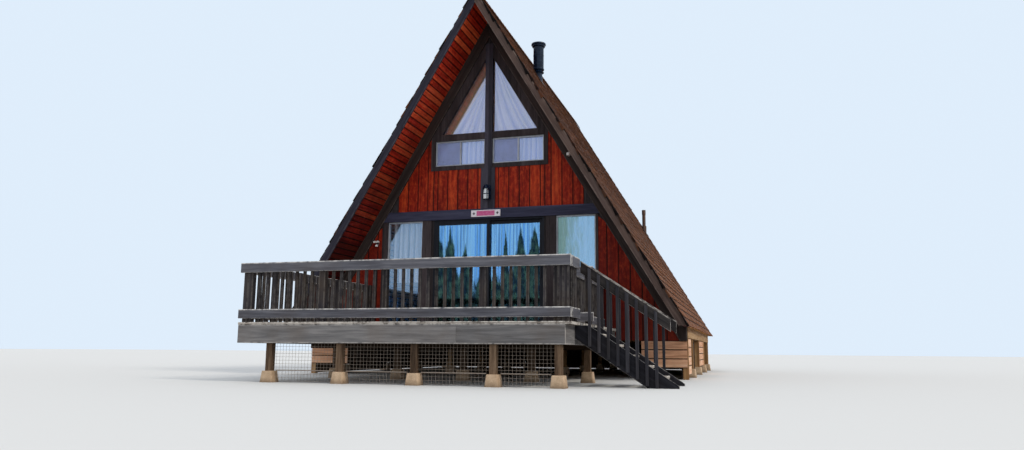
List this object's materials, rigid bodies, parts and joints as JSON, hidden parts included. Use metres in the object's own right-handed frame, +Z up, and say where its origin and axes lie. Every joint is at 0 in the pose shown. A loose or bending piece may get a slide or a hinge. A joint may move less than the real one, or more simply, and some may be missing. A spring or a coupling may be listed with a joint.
{
  "type": "a-frame cabin",
  "caption": "A-frame timber cabin with shingled roof slopes, glazed boarded gable, raised deck with railings, side stair and a sliding glass door.",
  "frame": {"origin": "on the ground, under the middle of the cabin's outline", "axes": "+X to the right along the front, +Y from the front to the back, +Z up"},
  "size_m": [7.4, 12, 7.1091],
  "materials": {
    "shingles": "weathered brown shingles",
    "soffit_planks": "red-brown stained planks",
    "red_boards": "red-brown stained vertical boards",
    "charcoal_paint": "charcoal paint on timber",
    "deck_paint": "weathered grey-brown deck paint",
    "deck_boards": "worn grey deck boards",
    "bare_timber": "light unpainted timber",
    "brown_timber": "dull brown timber",
    "inside_floor": "plain floor boards",
    "pane": "clear window glass",
    "window_aluminium": "dull mill finish",
    "door_metal": "dark bronze paint",
    "white_cloth": "white gathered cotton",
    "lower_cloth": "pale lined drapes",
    "concrete": "rough tan concrete",
    "galvanised_wire": "dull welded wire",
    "black_pipe": "black stovepipe paint",
    "brown_pipe": "brown paint",
    "black_lantern": "black lantern paint",
    "white_plastic": "white lamp housings",
    "board_paint": "pale painted board"
  },
  "bodies": {
    "cabin": {"roof_deck_left": "soffit_planks", "roof_deck_right": "soffit_planks", "shingles_left": "shingles", "shingles_right": "shingles", "ridge_cap": "shingles", "front_barge_boards": "charcoal_paint", "rear_barge_boards": "charcoal_paint", "front_rafters": "charcoal_paint", "rear_rafters": "charcoal_paint", "front_wall_left": "red_boards", "front_wall_right": "red_boards", "front_wall_upper": "red_boards", "rear_wall": "red_boards", "header_band": "charcoal_paint", "centre_post": "charcoal_paint", "window_trim": "charcoal_paint", "rear_trim": "charcoal_paint", "gable_glass": "pane", "window_frames": "window_aluminium", "window_glass": "pane", "door_frame": "door_metal", "fixed_door_panel": "door_metal", "gable_curtains": "white_cloth", "loft_curtains": "white_cloth", "lower_curtains": "lower_cloth", "cabin_floor": "inside_floor", "loft_floor": "inside_floor", "floor_beams": "bare_timber", "floor_joists": "bare_timber", "cabin_posts": "bare_timber", "pier_blocks": "concrete", "skirt_boards": "bare_timber", "crawl_boards": "brown_timber", "deck_floor": "deck_boards", "deck_fascia": "deck_paint", "deck_beams": "brown_timber", "deck_joists": "brown_timber", "deck_posts": "brown_timber", "deck_mesh": "galvanised_wire", "railing_front": "deck_paint", "railing_left": "deck_paint", "railing_right": "deck_paint", "stair_stringers": "deck_paint", "stair_treads": "deck_boards", "stair_rails": "deck_paint", "stovepipe": "black_pipe", "vent_pipe": "brown_pipe", "wall_lantern": "black_lantern", "door_board": "board_paint", "outside_lamps": "white_plastic"},
    "sliding_door": {"sliding_door_panel": "door_metal", "sliding_door_glass": "pane"}
  },
  "joints": [
    {"name": "door_slide", "type": "slide", "parent": "cabin", "child": "sliding_door", "axis": [-1, 0, 0], "range_m": [0, 0.9]}
  ]
}
